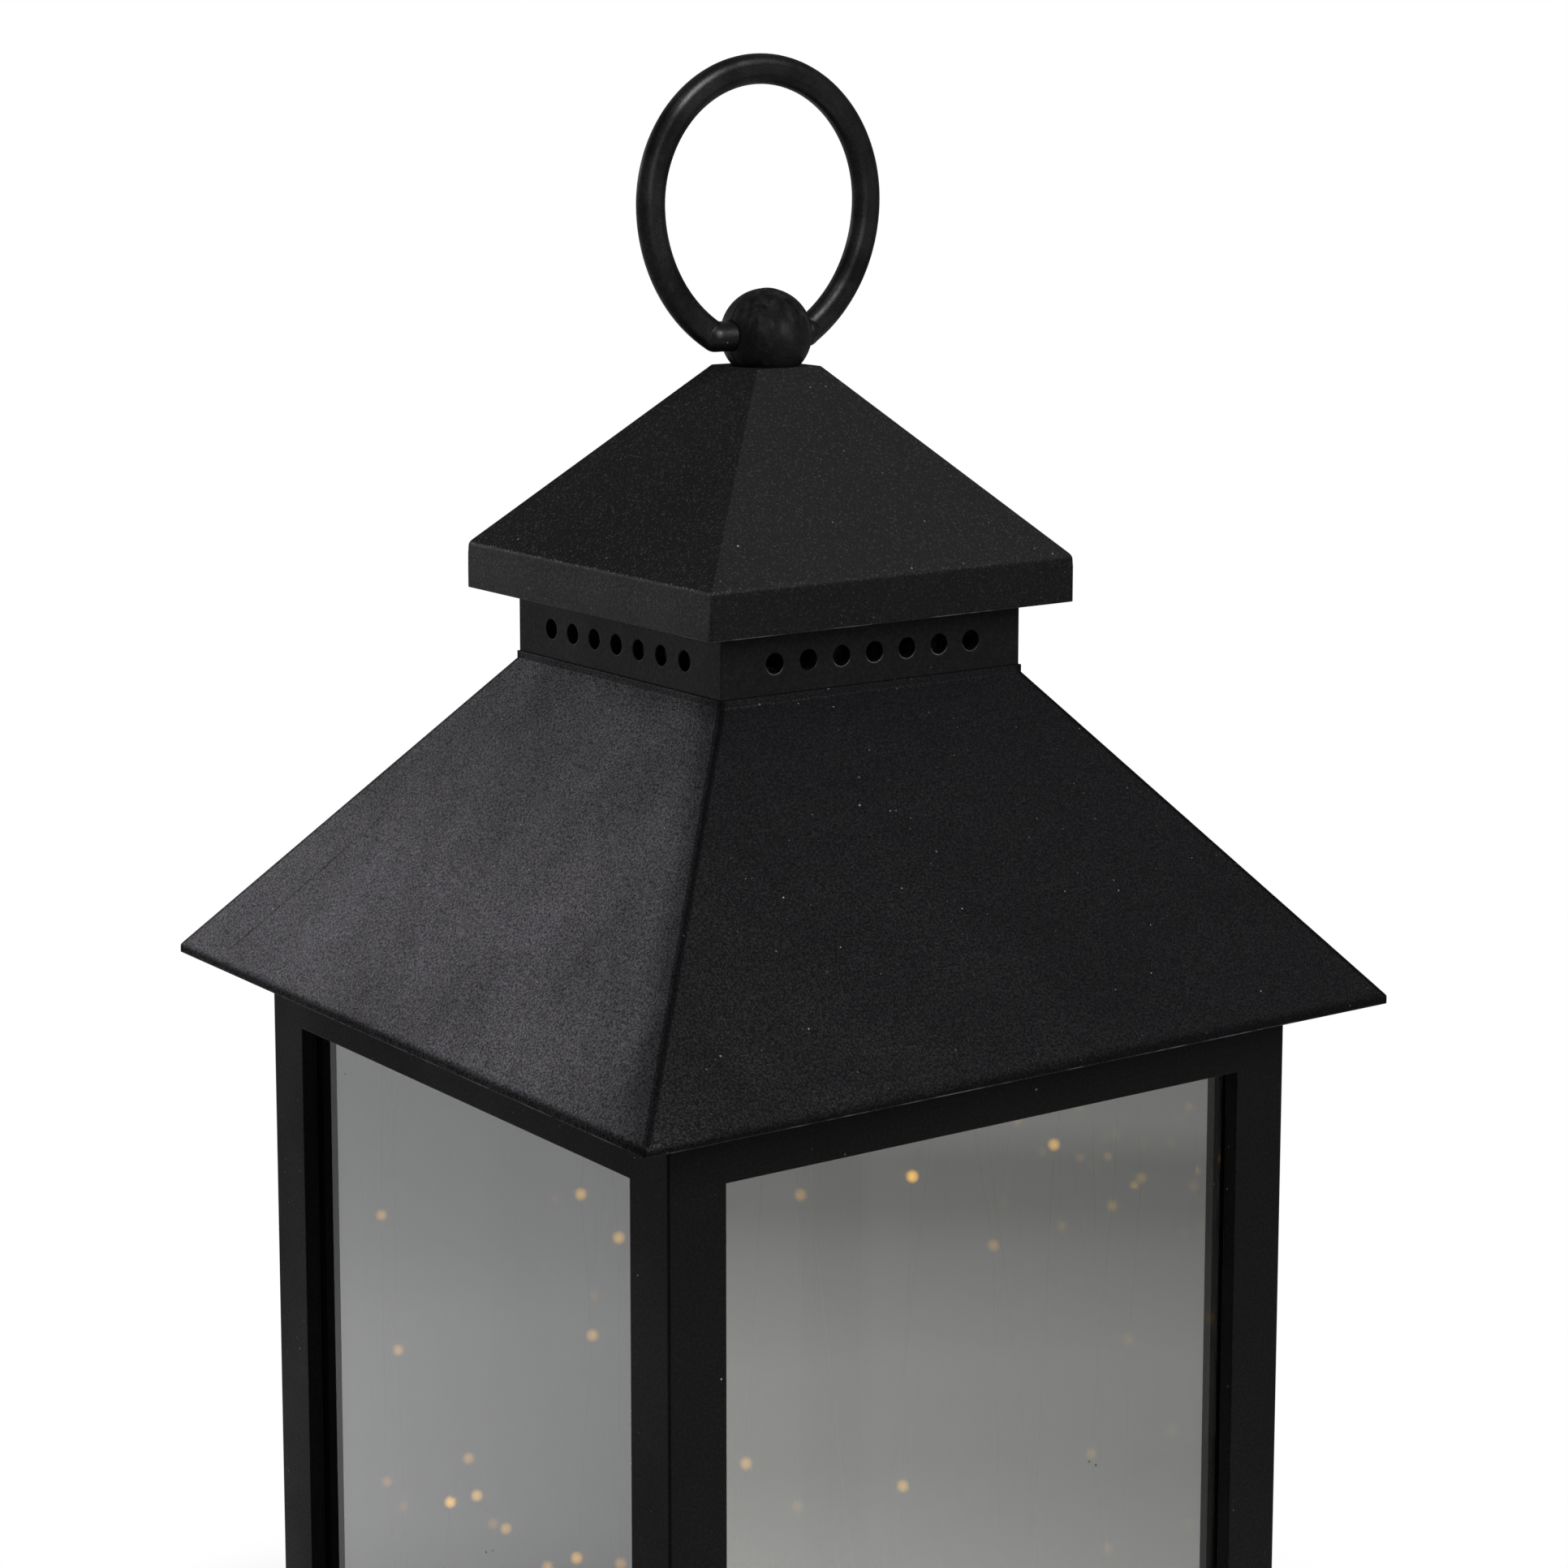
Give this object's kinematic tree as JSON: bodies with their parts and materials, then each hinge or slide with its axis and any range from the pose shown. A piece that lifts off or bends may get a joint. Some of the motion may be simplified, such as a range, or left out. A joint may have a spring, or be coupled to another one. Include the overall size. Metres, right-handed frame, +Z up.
{
  "type": "lantern",
  "caption": "Square lantern with a hipped roof, vented collar, pyramid cap and carrying ring; mirrored panes in slim frames around warm micro lights; battery base with slide switch.",
  "frame": {"origin": "on the ground under the middle of the base", "axes": "+Z up; front face towards -Y; the ring's pins lie along X"},
  "size_m": [0.141, 0.141, 0.3146],
  "materials": {
    "ring_plastic": "satin black moulding",
    "ball_plastic": "satin black moulding",
    "screw_steel": "zinc plated",
    "cap_plastic": "fine spark grain, matte black",
    "collar_plastic": "smooth matte black",
    "roof_plastic": "leather-like fine grain, matte black",
    "frame_plastic": "smooth matte black",
    "pane_mirror": "one-way mirror film on a clear sheet",
    "inner_plastic": "matte black, unpolished mould",
    "base_plastic": "fine grain, matte black",
    "foot_rubber": "matte",
    "battery_sleeve": "printed-free plain sleeve",
    "contact_nickel": "nickel plated",
    "door_plastic": "matte black",
    "board_laminate": "solder mask over glass laminate",
    "chip_plastic": "moulded epoxy",
    "switch_can": "pressed tin plate",
    "knob_plastic": "satin",
    "grommet_rubber": "matte",
    "wire_copper": "lacquered copper wire",
    "bead_epoxy": "clear epoxy drop over a warm white chip",
    "lead_red_pvc": "soft insulation",
    "lead_black_pvc": "soft insulation"
  },
  "bodies": {
    "lantern": {"ball_finial": "ball_plastic", "finial_screw": "screw_steel", "cap_shell": "cap_plastic", "vent_collar": "collar_plastic", "roof_shell": "roof_plastic", "cap_screws": "screw_steel", "ceiling_plate": "inner_plastic", "ceiling_screws": "screw_steel", "frame_front": "frame_plastic", "frame_right": "frame_plastic", "frame_back": "frame_plastic", "frame_left": "frame_plastic", "pane_front": "pane_mirror", "pane_right": "pane_mirror", "pane_back": "pane_mirror", "pane_left": "pane_mirror", "base_tray": "base_plastic", "base_plate": "inner_plastic", "base_screws": "screw_steel", "rubber_feet": "foot_rubber", "battery_tray": "inner_plastic", "tray_screws": "screw_steel", "battery_1": "battery_sleeve", "battery_2": "battery_sleeve", "battery_3": "battery_sleeve", "contact_springs": "contact_nickel", "contact_plates": "contact_nickel", "switch_board": "board_laminate", "timer_chip": "chip_plastic", "board_screws": "screw_steel", "switch_body": "switch_can", "wire_grommet": "grommet_rubber", "light_wire": "wire_copper", "light_beads": "bead_epoxy", "lead_red": "lead_red_pvc", "lead_black": "lead_black_pvc"},
    "ring": {"carry_ring": "ring_plastic"},
    "door": {"battery_door": "door_plastic"},
    "knob": {"switch_knob": "knob_plastic"}
  },
  "joints": [
    {"name": "ring_swing", "type": "hinge", "parent": "lantern", "child": "ring", "pos_m": [0, 0, 0.27055], "axis": [1, 0, 0], "range_deg": [-129, 129]},
    {"name": "door_hinge", "type": "hinge", "parent": "lantern", "child": "door", "pos_m": [0, 0.03475, 0.0042], "axis": [1, 0, 0], "range_deg": [0, 100]},
    {"name": "switch_slide", "type": "slide", "parent": "lantern", "child": "knob", "axis": [1, 0, 0], "range_m": [0, 0.005]}
  ]
}
